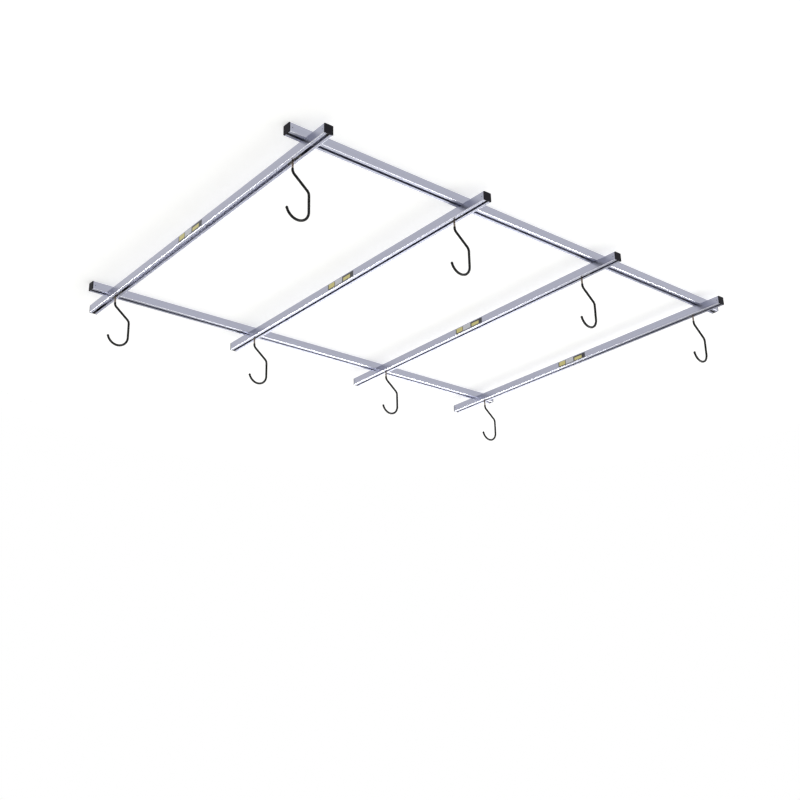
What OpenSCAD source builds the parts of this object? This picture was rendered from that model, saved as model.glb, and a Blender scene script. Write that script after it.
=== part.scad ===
// Ceiling bike rack: two channel rails on the ceiling, four bike rails crossed
// under them, and two swivelling hooks on trolleys in each bike rail.
// Millimetres. X runs along the cross rails, Y along the bike rails, Z up.
// The origin is on the ceiling, at the centre of the fixing holes.

/* [Channel section] */
// Width of every rail's section
rail_w = 28; // [26:1:34]
// Height of every rail's section
rail_h = 28; // [26:1:34]
// Thickness of the channel's walls
wall_t = 2; // [1.5:0.1:2.4]
// Width of the slot along the underside
slot_w = 10; // [9:0.5:11]
// Outside corner radius of the section
corner_r = 1.2; // [0.6:0.1:1.6]
// Depth of the fine grooves under the lips
groove_d = 0.4; // [0.2:0.1:0.6]
// Number of fine grooves under each lip
lip_grooves = 3; // [1:1:4]

/* [Layout] */
// Length of a cross rail's aluminium
cross_len = 1856; // [1790:1:2200]
// Length of a bike rail's aluminium
bike_len = 1372; // [1350:1:1600]
// Distance between the cross rails, centre to centre
cross_pitch = 1165; // [1130:1:1180]
// Centres of the four bike rails along X
bike_x = [-866, -305, 287, 834];
// Near overhang of each bike rail past the front cross rail
near_overhang = [83, 88, 73, 76];

/* [Ceiling fixing] */
// Pitch of the ceiling joists
joist_pitch = 406.4; // [400:0.1:420]
// Diameter of a ceiling screw's hole
ceiling_hole_d = 8; // [6:0.5:9]

/* [End caps] */
// Thickness of a cap's plate
cap_t = 3; // [2:0.5:5]
// Depth of a cap's plug in the channel
plug_len = 14; // [12:1:20]
// Wall of the hollow plug
plug_wall = 2; // [1.6:0.1:2.5]
// Diameter of the snap pegs and of their holes
peg_d = 3.2; // [2:0.1:4]

/* [Rail bolts] */
// Thread diameter of the rail bolts
bolt_d = 6; // [5:0.5:6.5]
// Diameter of the low bolt head
bolt_head_d = 14; // [12:0.5:16]
// Height of the low bolt head
bolt_head_h = 2.6; // [2:0.1:3]
// Across flats of the bolt head's hexagon socket
bolt_socket = 4; // [3:0.5:4]
// Length of a channel nut
nut_len = 19; // [16:0.5:21]
// Width of a channel nut across its short way
nut_w = 9; // [8:0.5:9]
// Thickness of a channel nut
nut_t = 6; // [5:0.5:8]

/* [Trolley] */
// Wheel diameter
wheel_d = 14; // [13:0.5:15]
// Wheel width
wheel_w = 5; // [4:0.5:5.2]
// Axle pin diameter
axle_d = 4; // [3:0.5:5]
// Distance between the two axles
wheelbase = 42; // [38:1:60]
// Width of the carriage between the wheels
carriage_w = 9; // [8.5:0.1:9.2]
// Length of the carriage
carriage_len = 60; // [56:1:80]
// Height of the carriage
carriage_h = 11; // [10:0.5:12]

/* [Hook] */
// Diameter of the hook's bare rod
rod_d = 6; // [5:0.5:6.5]
// Outside diameter of the dipped coating
coat_d = 7.6; // [7:0.1:8.5]
// Bare length of the stem below the rail
bare_len = 22; // [12:1:23]
// Straight stem below the rail, down to the first bend
stem_len = 24; // [22:1:40]
// Sideways reach of the hook's long leg
hook_reach = 54; // [48:1:70]
// Radius of the shank's two bends
bend_r = 18; // [14:1:22]
// Angle of the shank's slanted run from the vertical
slant = 50; // [40:1:60]
// Height of the straight long leg
leg_len = 50; // [40:1:90]
// Inside radius of the hook's cradle, to the rod's centre
cradle_r = 36; // [30:1:44]
// Angle that the cradle turns through
cradle_turn = 164; // [150:1:175]
// Diameter of the bead on the coating's tip
bead_d = 8.4; // [8:0.1:9.5]
// Diameter of the stem's upset head
head_d = 11; // [9:0.5:12]
// Thickness of the stem's upset head
head_h = 3.5; // [2.5:0.5:4.5]

/* [Hooks along the rails] */
// Front hooks' distance behind the front cross rail's near face
front_hook = [79, 53, 81, 44];
// Rear hooks' distance behind the front cross rail's near face
rear_hook = [1122, 1142, 1110, 1120];

/* [Labels] */
// Length of a plain label
label_len = 138; // [60:1:200]
// Height of a plain label
label_h = 20; // [10:1:22]
// Thickness of a plain label
label_t = 0.3; // [0.2:0.1:0.5]

/* [Hidden] */
// Gap between pieces that rest on one another
seat = 0.1;
// Radial gap of a running fit
run_fit = 0.05;
// Radial gap of a bolt in its hole
bolt_fit = 0.3;
// How far a cut runs past the solid that it cuts
over = 1;
// How far a straight run reaches into a bend, and how much it stands proud there
weld = 0.05;
skin = 0.02;
fine = 48;
// Width of a groove, as a share of its part of the lip
groove_share = 0.25;
// Reach of a snap peg into the wall, as a share of the wall
peg_share = 0.8;
// Bolt head: flat crown's radius, rim's height and socket's depth, as shares of its size
crown_share = 0.3;
rim_share = 0.5;
socket_share = 0.6;
// Bolt tip: radius and height, as shares of the thread
tip_share = 0.42;
point_share = 0.08;
// Height where a channel nut's end notches start, and their depth, as shares of its thickness
notch_shares = [0.8, 0.2];
// Radius of the waists cut in the carriage's top, as a share of half its height
waist_share = 0.9;
// Wheel: radii of hub, web's inner and outer edge, flange and shoulder, as shares of the wheel's
hub_share = 0.5;
web_shares = [0.56, 0.8];
flange_shares = [0.84, 0.93];
// Wheel: half widths of the web and of the tread's flat, as shares of half its width
web_depth_share = 0.7;
tread_share = 0.6;

cavity_w = rail_w - 2 * wall_t;
cavity_h = rail_h - 2 * wall_t;
lip_w = (rail_w - slot_w) / 2;
groove_shares = [for (i = [1:lip_grooves]) i / (lip_grooves + 1)];
groove_w = groove_share * lip_w / lip_grooves;
cross_y = [-cross_pitch / 2, cross_pitch / 2];
face_y = -cross_pitch / 2 - rail_w / 2;
bike_top = -rail_h;
bike_bottom = -2 * rail_h;
ceiling_hole_x = [-1.5 * joist_pitch, -joist_pitch / 2, joist_pitch / 2, 1.5 * joist_pitch];
peg_in = plug_len / 2;
lip_top = bike_bottom + wall_t;
axle_z = lip_top + seat + wheel_d / 2;
wheel_x = carriage_w / 2 + (cavity_w - carriage_w - 2 * wheel_w) / 4 + wheel_w / 2;
axle_len = cavity_w - 2 * run_fit - 2 * seat;
carriage_bottom = axle_z - carriage_h / 2;
carriage_top = axle_z + carriage_h / 2;
run_across = 2 * bend_r * (1 - cos(slant));
slant_len = (hook_reach - run_across) / sin(slant);
slant_drop = 2 * bend_r * sin(slant) + slant_len * cos(slant);
stem_bottom = bike_bottom - stem_len;
leg_top = stem_bottom - slant_drop;
leg_bottom = leg_top - leg_len;
coat_top = bike_bottom - bare_len;
rod_short = asin((bead_d / 2 + seat) / cradle_r);
label_bottom = bike_top - (rail_h + label_h) / 2;
label_out = (rail_w + seat) / 2 + label_t;

function bike_middle(i) = face_y - near_overhang[i] + bike_len / 2;
function hook_y(i, end) = face_y + (end == "front" ? front_hook[i] : rear_hook[i]);

// The channel's outline, slot down, top face at y = 0.
module section() {
    difference() {
        translate([-rail_w / 2, -rail_h]) square([rail_w, rail_h]);
        translate([-cavity_w / 2, wall_t - rail_h]) square([cavity_w, cavity_h]);
        translate([-slot_w / 2, -rail_h - over]) square([slot_w, wall_t + 2 * over]);
        for (side = [-1, 1]) {
            for (share = groove_shares)
                translate([side * (slot_w / 2 + share * lip_w) - groove_w / 2, -rail_h - over])
                    square([groove_w, over + groove_d]);
            for (level = [0, -rail_h])
                corner_cut(side, level);
        }
    }
}

// What the rounded corner of the section leaves off a square corner.
module corner_cut(side, level) {
    inward = level == 0 ? -1 : 1;
    reach = corner_r + over;
    translate([side * (rail_w / 2 - corner_r), level + inward * corner_r])
        difference() {
            translate([side > 0 ? 0 : -reach, inward > 0 ? -reach : 0])
                square([reach, reach]);
            circle(r = corner_r, $fn = fine);
        }
}

// A channel of the given length along Y, centred, top face at z = 0.
module channel(len) {
    difference() {
        rotate([90, 0, 0])
            linear_extrude(height = len, center = true)
                section();
        for (end = [-1, 1])
            translate([0, end * (len / 2 - peg_in), -rail_h / 2])
                rotate([0, 90, 0])
                    cylinder(d = peg_d, h = rail_w + 2 * over, center = true, $fn = fine);
    }
}

module cross_rail(y) {
    difference() {
        translate([0, y, 0])
            rotate([0, 0, 90])
                channel(cross_len);
        for (x = ceiling_hole_x)
            translate([x, y, -wall_t - over])
                cylinder(d = ceiling_hole_d, h = wall_t + 2 * over, $fn = fine);
    }
}

module bike_rail(i) {
    difference() {
        translate([bike_x[i], bike_middle(i), bike_top])
            channel(bike_len);
        for (c = cross_y)
            translate([bike_x[i], c, bike_top - wall_t - over])
                cylinder(d = bolt_d + 2 * bolt_fit, h = wall_t + 2 * over, $fn = fine);
    }
}

// A cap that faces +Y, its plate on y = 0 and its plug reaching to -Y.
module end_cap() {
    plug_w = cavity_w - 2 * seat;
    plug_h = cavity_h - 2 * seat;
    peg_len = plug_wall / 2 + seat + peg_share * wall_t;
    color([0.12, 0.12, 0.14])
    union() {
        translate([0, cap_t + seat, 0])
            rotate([90, 0, 0])
                linear_extrude(height = cap_t)
                    difference() {
                        translate([-rail_w / 2, -rail_h]) square([rail_w, rail_h]);
                        for (side = [-1, 1])
                            for (level = [0, -rail_h])
                                corner_cut(side, level);
                    }
        difference() {
            translate([-plug_w / 2, -plug_len, -wall_t - seat - plug_h])
                cube([plug_w, plug_len + seat + cap_t / 2, plug_h]);
            translate([-plug_w / 2 + plug_wall, -plug_len - over, -wall_t - seat - plug_h + plug_wall])
                cube([plug_w - 2 * plug_wall, plug_len + over, plug_h - 2 * plug_wall]);
        }
        for (side = [-1, 1])
            translate([side * (plug_w - plug_wall) / 2, -peg_in, -rail_h / 2])
                rotate([0, side * 90, 0])
                    cylinder(d = peg_d - 2 * run_fit, h = peg_len, $fn = fine);
    }
}

module cross_rail_end_caps() {
    for (y = cross_y)
        for (end = [0, 1])
            translate([(end - 0.5) * cross_len, y, 0])
                rotate([0, 0, end ? -90 : 90])
                    end_cap();
}

module bike_rail_end_caps() {
    for (i = [0:3])
        for (end = [0, 1])
            translate([bike_x[i], face_y - near_overhang[i] + end * bike_len, bike_top])
                rotate([0, 0, end ? 0 : 180])
                    end_cap();
}

// Low-head bolt, its head hanging from z = 0 and its shank going up.
module rail_bolt() {
    shank = 2 * wall_t + nut_t + 2 * seat;
    tip = shank + point_share * bolt_d;
    crown = -seat - bolt_head_h;
    color([0.7, 0.71, 0.72])
    difference() {
        rotate_extrude($fn = fine)
            polygon([
                [0, crown], [crown_share * bolt_head_d, crown],
                [bolt_head_d / 2, -seat - rim_share * bolt_head_h], [bolt_head_d / 2, -seat],
                [bolt_d / 2, -seat], [bolt_d / 2, shank],
                [tip_share * bolt_d, tip], [0, tip]
            ]);
        translate([0, 0, crown - over])
            cylinder(d = bolt_socket / cos(30), h = over + socket_share * bolt_head_h, $fn = 6);
    }
}

module rail_bolts() {
    for (x = bike_x)
        for (y = cross_y)
            translate([x, y, bike_top - wall_t])
                rail_bolt();
}

// Channel nut on the lips of the cross rail, turned across its slot.
module channel_nut() {
    color([0.62, 0.62, 0.6])
    difference() {
        translate([-nut_w / 2, -nut_len / 2, 0])
            cube([nut_w, nut_len, nut_t]);
        translate([0, 0, -over])
            cylinder(r = bolt_d / 2 + run_fit / 2, h = nut_t + 2 * over, $fn = fine);
        for (side = [-1, 1])
            translate([-nut_w, side * (nut_len / 2) - notch_shares[1] * nut_t, notch_shares[0] * nut_t])
                cube([2 * nut_w, 2 * notch_shares[1] * nut_t, nut_t]);
    }
}

module channel_nuts() {
    for (x = bike_x)
        for (y = cross_y)
            translate([x, y, wall_t - rail_h + seat])
                channel_nut();
}

module rail_labels() {
    color([0.8, 0.8, 0.76])
    for (i = [0:3])
        translate([bike_x[i] - label_out, bike_middle(i) - label_len / 2, label_bottom])
            cube([label_t, label_len, label_h]);
}

// Carriage of a trolley, with the axles' bores and the stem's bore.
module carriage(x, y) {
    color([0.3, 0.3, 0.32])
    translate([x, y, 0])
    difference() {
        translate([0, 0, axle_z])
            rotate([0, 90, 0])
                linear_extrude(height = carriage_w, center = true)
                    carriage_side();
        for (end = [-1, 1])
            translate([0, end * wheelbase / 2, axle_z])
                rotate([0, 90, 0])
                    cylinder(d = axle_d + run_fit, h = rail_w, center = true, $fn = fine);
        translate([0, 0, carriage_bottom - over])
            cylinder(r = rod_d / 2 + run_fit, h = carriage_h + 2 * over, $fn = fine);
    }
}

// The carriage seen from its side: a bar with rounded ends and a waist over each half.
module carriage_side() {
    r = carriage_h / 2;
    difference() {
        union() {
            square([carriage_h, carriage_len - carriage_h], center = true);
            for (end = [-1, 1])
                translate([0, end * (carriage_len / 2 - r)])
                    circle(r = r, $fn = fine);
        }
        for (end = [-1, 1])
            translate([-r - r / 2, end * wheelbase / 4 + end * rod_d / 4])
                circle(r = waist_share * r, $fn = fine);
    }
}

module axles(x, y) {
    color([0.75, 0.75, 0.76])
    for (end = [-1, 1])
        translate([x, y + end * wheelbase / 2, axle_z])
            rotate([0, 90, 0])
                cylinder(d = axle_d, h = axle_len, center = true, $fn = fine);
}

// Two wheels on one axle, with a crowned tread and a recessed hub.
module wheels(x, y) {
    r = wheel_d / 2;
    half = wheel_w / 2;
    bore = axle_d / 2 + run_fit;
    web = web_depth_share * half;
    tread = tread_share * half;
    hub = hub_share * r;
    web_r = web_shares * r;
    flange_r = flange_shares * r;
    color([0.9, 0.9, 0.86])
    for (side = [-1, 1])
        translate([x + side * wheel_x, y, axle_z])
            rotate([0, 90, 0])
                rotate_extrude($fn = fine)
                    polygon([
                        [bore, -half], [hub, -half], [web_r[0], -web], [web_r[1], -web],
                        [flange_r[0], -half], [flange_r[1], -half], [r, -tread],
                        [r, tread], [flange_r[1], half], [flange_r[0], half],
                        [web_r[1], web], [web_r[0], web], [hub, half], [bore, half]
                    ]);
}

// A bend in the XZ plane: it starts at the origin going down and turns to +X.
module bend(radius, turn, d, bore) {
    translate([radius, 0, 0])
        rotate([90, 0, 0])
            rotate([0, 0, 180])
                rotate_extrude(angle = turn, $fn = fine * 2)
                    translate([radius, 0])
                        ring(d, bore);
}

// Carries its children to the end of a bend, where -Z is the way ahead.
module after_bend(radius, turn) {
    translate([radius, 0, 0])
        rotate([0, -turn, 0])
            translate([-radius, 0, 0])
                children();
}

module ring(d, bore) {
    difference() {
        circle(d = d, $fn = fine);
        if (bore > 0)
            circle(d = bore, $fn = fine);
    }
}

// A straight run going down from the origin. It is a hair thicker than the
// bends and reaches a little way into them, so that they join as one piece.
module run(len, d, bore) {
    translate([0, 0, -len - weld])
        linear_extrude(height = len + 2 * weld)
            ring(d + 2 * skin, bore - 2 * skin);
}

// The hook's path from the given top: stem, slanted shank, long leg and cradle.
// Each piece sits at the end of the one before, and children at the cradle's end.
module hook_path(top, d, bore, turn) {
    translate([0, 0, stem_bottom]) {
        translate([0, 0, top - stem_bottom])
            run(top - stem_bottom, d, bore);
        bend(bend_r, slant, d, bore);
        after_bend(bend_r, slant) {
            run(slant_len, d, bore);
            translate([0, 0, -slant_len])
                mirror([1, 0, 0]) {
                    bend(bend_r, slant, d, bore);
                    after_bend(bend_r, slant) {
                        run(leg_len, d, bore);
                        translate([0, 0, -leg_len]) {
                            bend(cradle_r, turn, d, bore);
                            after_bend(cradle_r, turn)
                                children();
                        }
                    }
                }
        }
    }
}

module hook(x, y) {
    color([0.45, 0.42, 0.38])
    translate([x, y, 0]) {
        hook_path(carriage_top + seat, rod_d, 0, cradle_turn - rod_short);
        translate([0, 0, carriage_top + seat])
            cylinder(d = head_d, h = head_h, $fn = fine);
    }
}

// The dipped coating, with a bead where it dripped off the tip.
module coating(x, y) {
    color([0.06, 0.06, 0.07])
    translate([x, y, 0])
        hook_path(coat_top, coat_d, rod_d + 2 * (run_fit + skin), cradle_turn)
            sphere(d = bead_d, $fn = fine);
}

for (i = [0:1])
    color([0.75, 0.76, 0.8]) cross_rail(cross_y[i]);
for (i = [0:3])
    color([0.75, 0.76, 0.8]) bike_rail(i);
cross_rail_end_caps();
bike_rail_end_caps();
rail_bolts();
channel_nuts();
rail_labels();
for (i = [0:3]) {
    for (end = ["front", "rear"]) {
        tag = str("_", i + 1, "_", end);
        x = bike_x[i];
        y = hook_y(i, end);
        carriage(x, y);
        axles(x, y);
        wheels(x, y - wheelbase / 2);
        wheels(x, y + wheelbase / 2);
        hook(x, y);
        coating(x, y);
    }
}
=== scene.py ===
import math

import bmesh
import bpy
from mathutils import Matrix, Vector


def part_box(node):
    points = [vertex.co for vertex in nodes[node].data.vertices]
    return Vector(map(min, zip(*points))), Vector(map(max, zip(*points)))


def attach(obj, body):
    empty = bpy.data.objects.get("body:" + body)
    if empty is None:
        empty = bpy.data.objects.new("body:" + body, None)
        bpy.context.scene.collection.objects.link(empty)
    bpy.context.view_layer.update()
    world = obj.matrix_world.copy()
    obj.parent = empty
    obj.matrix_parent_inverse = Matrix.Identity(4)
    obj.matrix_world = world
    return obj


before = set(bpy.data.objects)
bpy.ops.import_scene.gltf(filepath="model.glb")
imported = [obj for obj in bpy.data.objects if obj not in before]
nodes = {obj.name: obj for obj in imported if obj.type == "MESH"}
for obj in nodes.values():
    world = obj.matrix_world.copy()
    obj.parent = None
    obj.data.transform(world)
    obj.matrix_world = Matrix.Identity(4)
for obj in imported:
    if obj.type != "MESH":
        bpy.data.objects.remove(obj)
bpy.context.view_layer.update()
mm = 0.001
print("frame loaded:", len(nodes), "solids")

noiseRange = {"From Min": 0.3, "From Max": 0.7}  # the part of a noise's output that it mostly stays in


def hexColour(text):
    # sRGB hex to the linear values that Blender's sockets take
    channels = [int(text[i : i + 2], 16) / 255 for i in (1, 3, 5)]
    linear = [c / 12.92 if c <= 0.04045 else ((c + 0.055) / 1.055) ** 2.4 for c in channels]
    return (*linear, 1.0)


def addNode(tree, kind, settings=None, links=None):
    # one node, the values of its sockets or fields, and the sockets that feed it, by name or place
    node = tree.nodes.new(kind)
    for name, value in (settings or {}).items():
        if name in node.inputs:
            node.inputs[name].default_value = value
        else:
            setattr(node, name, value)
    for key, source in (links or {}).items():
        tree.links.new(source, node.inputs[key])
    return node


def emptyMaterial(name):
    material = bpy.data.materials.new(name)
    material.use_nodes = True
    material.node_tree.nodes.clear()
    return material, material.node_tree


def finish(name, grain, dark, light, roughness, shaderSettings, detail=3.0, bump=None):
    # a finish whose colour and roughness drift with one object-space noise of the given grain
    material, tree = emptyMaterial(name)
    place = addNode(tree, "ShaderNodeTexCoord")
    stretched = addNode(
        tree,
        "ShaderNodeMapping",
        {"Scale": tuple(1 / size for size in grain)},
        {"Vector": place.outputs["Object"]},
    )
    noise = addNode(
        tree,
        "ShaderNodeTexNoise",
        {"Scale": 1.0, "Detail": detail, "Roughness": 0.55},
        {"Vector": stretched.outputs["Vector"]},
    )
    tint = addNode(tree, "ShaderNodeValToRGB", None, {"Fac": noise.outputs["Fac"]})
    for element, position, colour in zip(tint.color_ramp.elements, noiseRange.values(), (dark, light)):
        element.position = position
        element.color = hexColour(colour)
    gloss = addNode(
        tree,
        "ShaderNodeMapRange",
        {**noiseRange, "To Min": roughness[0], "To Max": roughness[1]},
        {"Value": noise.outputs["Fac"]},
    )
    links = {"Base Color": tint.outputs["Color"], "Roughness": gloss.outputs["Result"]}
    if bump:
        relief = addNode(
            tree,
            "ShaderNodeBump",
            {"Strength": bump[0], "Distance": bump[1]},
            {"Height": noise.outputs["Fac"]},
        )
        links["Normal"] = relief.outputs["Normal"]
    shader = addNode(tree, "ShaderNodeBsdfPrincipled", shaderSettings, links)
    addNode(tree, "ShaderNodeOutputMaterial", None, {"Surface": shader.outputs["BSDF"]})
    return material


metal = {"Metallic": 1.0}
anodised = {
    "colours": ("#A5A7B6", "#B0B2C1"),
    "roughness": (0.28, 0.35),
    "lineWidth": 0.9 * mm,  # die lines are finer, drawn this coarse so that they show
    "lineLength": 700 * mm,
    "bump": (0.08, 0.03 * mm),
}


def anodisedAluminium(name, grain):
    # extruded, then satin anodised: a soft even sheen with faint die lines along the rail
    return finish(name, grain, *anodised["colours"], anodised["roughness"], metal, bump=anodised["bump"])


def mouldedPlastic(name, dark, light, rough, grain, specular=0.5):
    # moulded in a lightly eroded tool: matte with a fine grain
    plastic = {"IOR": 1.53, "Specular IOR Level": specular}
    spread = (rough - 0.05, rough + 0.06)
    return finish(name, (grain,) * 3, dark, light, spread, plastic, 2.0, (0.2, 0.04 * mm))


def platedSteel(name, dark, light, rough, patch):
    # electroplated steel: a dull metal glint, cloudy where the plating varies
    spread = (rough - 0.06, rough + 0.08)
    return finish(name, (patch,) * 3, dark, light, spread, metal, 4.0, (0.1, 0.03 * mm))


width, length = anodised["lineWidth"], anodised["lineLength"]
finishes = {
    "alongX": anodisedAluminium("anodisedCrossRail", (length, width, width)),
    "alongY": anodisedAluminium("anodisedBikeRail", (width, length, width)),
    # the rails' rounded lower corners, glossier and painted lighter than the rail as a painted highlight: a
    # thin hard line of light along each rail
    "edge": finish("paintedHighlightEdge", (6 * mm,) * 3, "#DDDEE6", "#E9EAF0", (0.2, 0.28), metal, 2.0),
    "cap": mouldedPlastic("mouldedAbsCap", "#0E0C14", "#16141D", 0.55, 0.8 * mm, 0.1),
    "carriage": mouldedPlastic("mouldedNylonCarriage", "#2C2D30", "#37383B", 0.5, 0.9 * mm),
    "wheel": mouldedPlastic("turnedAcetalWheel", "#DAD6CA", "#E6E2D8", 0.38, 1.2 * mm),
    # PVC plastisol dip: black and soft, with slow ripples where it flowed
    "vinyl": finish(
        "dippedVinyl",
        (4 * mm,) * 3,
        "#050506",
        "#0B0B0C",
        (0.32, 0.44),
        {"IOR": 1.5, "Specular IOR Level": 0.2},
        2.0,
        (0.15, 0.1 * mm),
    ),
    "zinc": platedSteel("brightZincSteel", "#B4B5B6", "#C9CACB", 0.32, 2 * mm),
    "bronze": platedSteel("bronzeZincStem", "#7C7066", "#948779", 0.36, 3 * mm),
    "film": mouldedPlastic("printedFilm", "#C6C8CE", "#D2D4DA", 0.3, 3 * mm),
    "filmYellow": mouldedPlastic("printedFilmYellow", "#CFC57A", "#D9CF86", 0.3, 3 * mm),
    "filmBlack": mouldedPlastic("printedFilmBlack", "#26252C", "#302F36", 0.3, 3 * mm),
}
nodeFinish = {
    "cross_rail_end_caps": "cap",
    "bike_rail_end_caps": "cap",
    "rail_bolts": "zinc",
    "channel_nuts": "zinc",
    "rail_labels": "film",
    "cross_rail": "alongX",
    "bike_rail": "alongY",
    "carriage": "carriage",
    "axles": "zinc",
    "wheels": "wheel",
    "hook": "bronze",
    "coating": "vinyl",
}
# a rail's corner facets lie this low and face neither straight down nor straight sideways
corner = {"height": 1.3 * mm, "leastDown": 0.05, "mostDown": 0.998}
for nodeName, solid in nodes.items():
    start = max((key for key in nodeFinish if nodeName.startswith(key)), key=len)
    solid.data.materials.clear()
    solid.data.materials.append(finishes[nodeFinish[start]])
    if start in ("cross_rail", "bike_rail"):
        # a second finish with a painted highlight, lighter than the rail, for the lower corner facets
        solid.data.materials.append(finishes["edge"])
        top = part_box(nodeName)[0].z + corner["height"]
        for facet in solid.data.polygons:
            slanted = corner["leastDown"] < -facet.normal.z < corner["mostDown"]
            facet.material_index = 1 if slanted and facet.center.z < top else 0
print("finishes on every solid")


def meshPiece(name, build, finishName, body, smooth=False):
    # a piece whose faces build adds to a bmesh, riding on a body
    data = bpy.data.meshes.new(name)
    shape = bmesh.new()
    build(shape)
    bmesh.ops.recalc_face_normals(shape, faces=shape.faces)
    shape.to_mesh(data)
    shape.free()
    data.materials.append(finishes[finishName])
    if smooth:
        data.shade_smooth()
    piece = bpy.data.objects.new(name, data)
    bpy.context.scene.collection.objects.link(piece)
    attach(piece, body)


# the coating's rolled upper edge, where the dip stopped
dipEdge = {"tube": 0.45 * mm, "sink": 0.15 * mm, "radius": 3.5 * mm, "around": 40, "section": 12}


def dipRing(shape, centre):
    # a torus about the vertical through centre
    loops = []
    for i in range(dipEdge["around"]):
        a = 2 * math.pi * i / dipEdge["around"]
        outward = Vector((math.cos(a), math.sin(a), 0))
        loop = []
        for j in range(dipEdge["section"]):
            b = 2 * math.pi * j / dipEdge["section"]
            rise = Vector((0, 0, dipEdge["tube"] * math.sin(b)))
            reach = dipEdge["radius"] + dipEdge["tube"] * math.cos(b)
            loop.append(shape.verts.new(centre + outward * reach + rise))
        loops.append(loop)
    for near, far in zip(loops, loops[1:] + loops[:1]):
        for j in range(dipEdge["section"]):
            shape.faces.new((near[j - 1], far[j - 1], far[j], near[j]))


for nodeName in [name for name in nodes if name.startswith("coating_")]:
    tag = nodeName.removeprefix("coating_")
    carriageLow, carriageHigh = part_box("carriage_" + tag)
    stem = (carriageLow + carriageHigh) / 2
    stem.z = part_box(nodeName)[1].z - dipEdge["sink"]

    def dip(shape):
        dipRing(shape, stem)

    meshPiece("dipEdge_" + tag, dip, "vinyl", "hook_" + tag, True)
print("rolled edges on the hook coatings")

# plain blocks of colour on each label, in place of its print: a finish, then
# shares of the label's length, from the near end, and of its height, from below
labelBlocks = {
    "length": 138 * mm,
    "standOff": 0.35 * mm,
    "sunk": 0.1 * mm,
    "proud": 0.06 * mm,
    "blocks": (
        ("filmBlack", 0.0, 0.43, 0.0, 1.0),
        ("filmYellow", 0.12, 0.39, 0.12, 0.72),
        ("filmBlack", 0.72, 1.0, 0.0, 1.0),
        ("filmYellow", 0.74, 0.97, 0.16, 1.0),
        ("filmBlack", 0.43, 0.72, 0.0, 0.1),
    ),
}
labelLow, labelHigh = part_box("rail_labels")
labelHeight = labelHigh.z - labelLow.z
for rail in range(1, 5):
    railLow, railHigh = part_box("bike_rail_%d" % rail)
    faceX = railLow.x - labelBlocks["standOff"]
    nearEnd = (railLow.y + railHigh.y - labelBlocks["length"]) / 2
    for index, (colour, start, end, low, high) in enumerate(labelBlocks["blocks"]):
        proud = (index % 2 + 1) * labelBlocks["proud"]  # the yellow lies on the black
        corners = [
            (x, nearEnd + share * labelBlocks["length"], labelLow.z + rise * labelHeight)
            for x in (faceX - proud, faceX + labelBlocks["sunk"])
            for share in (start, end)
            for rise in (low, high)
        ]

        def block(shape):
            bmesh.ops.convex_hull(shape, input=[shape.verts.new(point) for point in corners])

        meshPiece("labelBlock_%d_%d" % (rail, index), block, colour, "frame")
print("blocks on the labels")

# a white ceiling that only the camera sees, from below, and a pale floor
stageSettings = {
    "ceilingSize": 6.0,
    "ceilingGap": 0.5 * mm,
    "ceilingFade": (2.6, 2.3, 1.0),
    "fadeRange": {"From Min": 0.08, "From Max": 0.4},
    "ceilingDiffuse": 0.75,
    "ceilingGlow": 0.46,
    "floorSize": 600.0,
    "floorZ": -4.6,
    "floorColour": "#EDEDEA",
}


def stagePlane(name, size, z, material):
    data = bpy.data.meshes.new(name)
    half = size / 2
    corners = [(-half, -half, z), (half, -half, z), (half, half, z), (-half, half, z)]
    data.from_pydata(corners, [], [(0, 1, 2, 3)])
    data.materials.append(material)
    plane = bpy.data.objects.new(name, data)
    bpy.context.scene.collection.objects.link(plane)
    return data


floorPaint, tree = emptyMaterial("paleFloor")
paint = {"Roughness": 0.8, "Base Color": hexColour(stageSettings["floorColour"])}
shader = addNode(tree, "ShaderNodeBsdfPrincipled", paint)
addNode(tree, "ShaderNodeOutputMaterial", None, {"Surface": shader.outputs["BSDF"]})
stagePlane("floor", stageSettings["floorSize"], stageSettings["floorZ"], floorPaint)

plaster, tree = emptyMaterial("whiteCeiling")
level = stageSettings["ceilingDiffuse"]
matte = addNode(tree, "ShaderNodeBsdfDiffuse", {"Color": (level, level, level, 1.0)})
glow = addNode(tree, "ShaderNodeEmission", {"Strength": stageSettings["ceilingGlow"]})
white = addNode(tree, "ShaderNodeAddShader", None, {0: matte.outputs["BSDF"], 1: glow.outputs["Emission"]})
path = addNode(tree, "ShaderNodeLightPath")
side = addNode(tree, "ShaderNodeNewGeometry")
seenBelow = addNode(
    tree,
    "ShaderNodeMath",
    {"operation": "SUBTRACT", "use_clamp": True},
    {0: path.outputs["Is Camera Ray"], 1: side.outputs["Backfacing"]},
)
# it fades into the white world around the rack
place = addNode(tree, "ShaderNodeTexCoord")
shrunk = addNode(
    tree,
    "ShaderNodeMapping",
    {"Scale": tuple(1 / reach for reach in stageSettings["ceilingFade"])},
    {"Vector": place.outputs["Object"]},
)
fromMiddle = addNode(
    tree, "ShaderNodeTexGradient", {"gradient_type": "SPHERICAL"}, {"Vector": shrunk.outputs["Vector"]}
)
fade = addNode(tree, "ShaderNodeMapRange", stageSettings["fadeRange"], {"Value": fromMiddle.outputs["Fac"]})
visible = addNode(
    tree,
    "ShaderNodeMath",
    {"operation": "MULTIPLY"},
    {0: seenBelow.outputs["Value"], 1: fade.outputs["Result"]},
)
clear = addNode(tree, "ShaderNodeBsdfTransparent")
shown = addNode(
    tree,
    "ShaderNodeMixShader",
    None,
    {"Fac": visible.outputs["Value"], 1: clear.outputs["BSDF"], 2: white.outputs["Shader"]},
)
addNode(tree, "ShaderNodeOutputMaterial", None, {"Surface": shown.outputs["Shader"]})
ceiling = stagePlane("ceiling", stageSettings["ceilingSize"], stageSettings["ceilingGap"], plaster)
ceiling.flip_normals()
print("stage ready")

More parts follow.
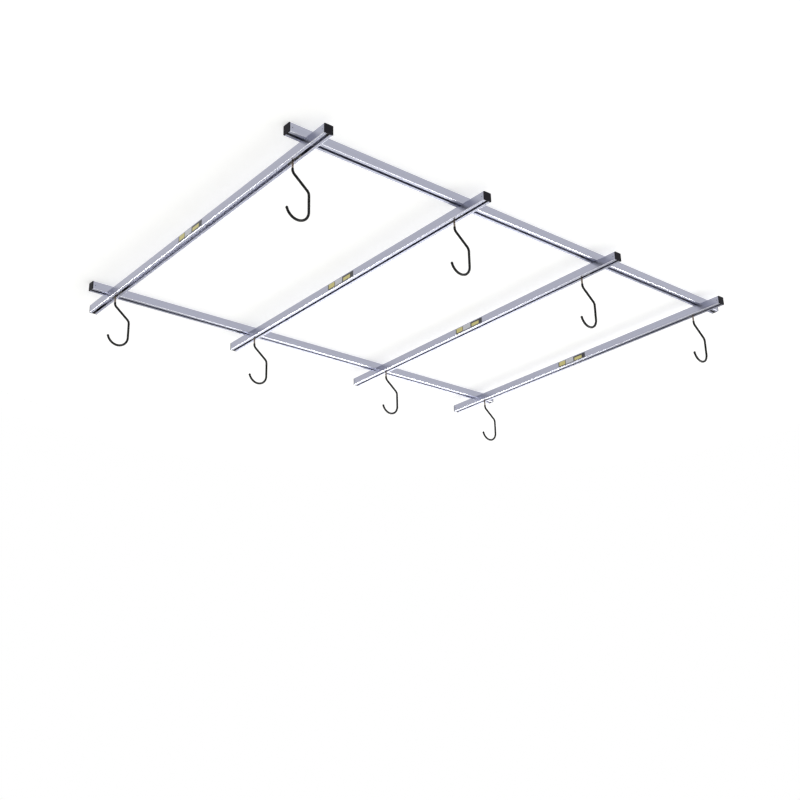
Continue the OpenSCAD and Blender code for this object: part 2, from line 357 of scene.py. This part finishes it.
# a white room: plain white to the eye and in reflections, softer as light,
# with soft lamps from below and two that only glint along the rails' corners
lighting = {
    "worldFill": 0.76,
    "lamps": {
        "key": {"place": (2.6, -4.2, -2.0), "size": 2.4, "power": 55.0, "glintOnly": False},
        "low": {"place": (3.6, 4.3, -2.2), "size": 3.2, "power": 70.0, "glintOnly": False},
        "glintAlongY": {"place": (-1.3, 2.9, -2.2), "size": 1.4, "power": 75.0, "glintOnly": True},
        "glintAlongX": {"place": (2.3, -1.3, -2.2), "size": 1.4, "power": 110.0, "glintOnly": True},
    },
}
world = bpy.data.worlds.new("whiteRoom")
bpy.context.scene.world = world
world.use_nodes = True
tree = world.node_tree
tree.nodes.clear()
path = addNode(tree, "ShaderNodeLightPath")
straight = addNode(
    tree,
    "ShaderNodeMath",
    {"operation": "MAXIMUM"},
    {0: path.outputs["Is Camera Ray"], 1: path.outputs["Is Glossy Ray"]},
)
seen = addNode(
    tree,
    "ShaderNodeMath",
    {"operation": "MAXIMUM"},
    {0: straight.outputs["Value"], 1: path.outputs["Is Transmission Ray"]},
)
level = {"To Min": lighting["worldFill"]}
strength = addNode(tree, "ShaderNodeMapRange", level, {"Value": seen.outputs["Value"]})
sky = addNode(
    tree, "ShaderNodeBackground", {"Color": (1.0, 1.0, 1.0, 1.0)}, {"Strength": strength.outputs["Result"]}
)
addNode(tree, "ShaderNodeOutputWorld", None, {"Surface": sky.outputs["Background"]})

for name, settings in lighting["lamps"].items():
    data = bpy.data.lights.new(name, "AREA")
    data.shape = "DISK"
    data.size = settings["size"]
    data.energy = settings["power"]
    lamp = bpy.data.objects.new(name, data)
    bpy.context.scene.collection.objects.link(lamp)
    lamp.location = settings["place"]
    lamp.rotation_mode = "QUATERNION"
    lamp.rotation_quaternion = (-Vector(settings["place"])).to_track_quat("-Z", "Y")
    lamp.visible_diffuse = not settings["glintOnly"]
print("lights ready")

# the photograph's view: from below the near left corner, looking up along the rails
cameraView = {
    "place": (-2.340, -2.697, -1.718),
    "heading": math.radians(49.98),
    "tilt": math.radians(20.37),
    "roll": math.radians(-1.37),
    "lens": 50.84,
    "sensor": 36.0,
    "farthest": 1000.0,
}
heading, tilt, roll = (cameraView[key] for key in ("heading", "tilt", "roll"))
ahead = Vector((math.cos(heading), math.sin(heading), 0.0))
forward = math.cos(tilt) * ahead + Vector((0.0, 0.0, math.sin(tilt)))
right = Vector((math.sin(heading), -math.cos(heading), 0.0))
upward = right.cross(forward)
turnedRight = math.cos(roll) * right + math.sin(roll) * upward
turnedUp = math.cos(roll) * upward - math.sin(roll) * right
axes = Matrix((turnedRight, turnedUp, -forward)).transposed().to_4x4()
lens = bpy.data.cameras.new("photoView")
lens.lens = cameraView["lens"]
lens.sensor_width = cameraView["sensor"]
lens.clip_end = cameraView["farthest"]
camera = bpy.data.objects.new("photoView", lens)
bpy.context.scene.collection.objects.link(camera)
camera.matrix_world = Matrix.Translation(cameraView["place"]) @ axes
bpy.context.scene.camera = camera

bpy.context.scene.view_settings.view_transform = "Standard"
print("scene ready")
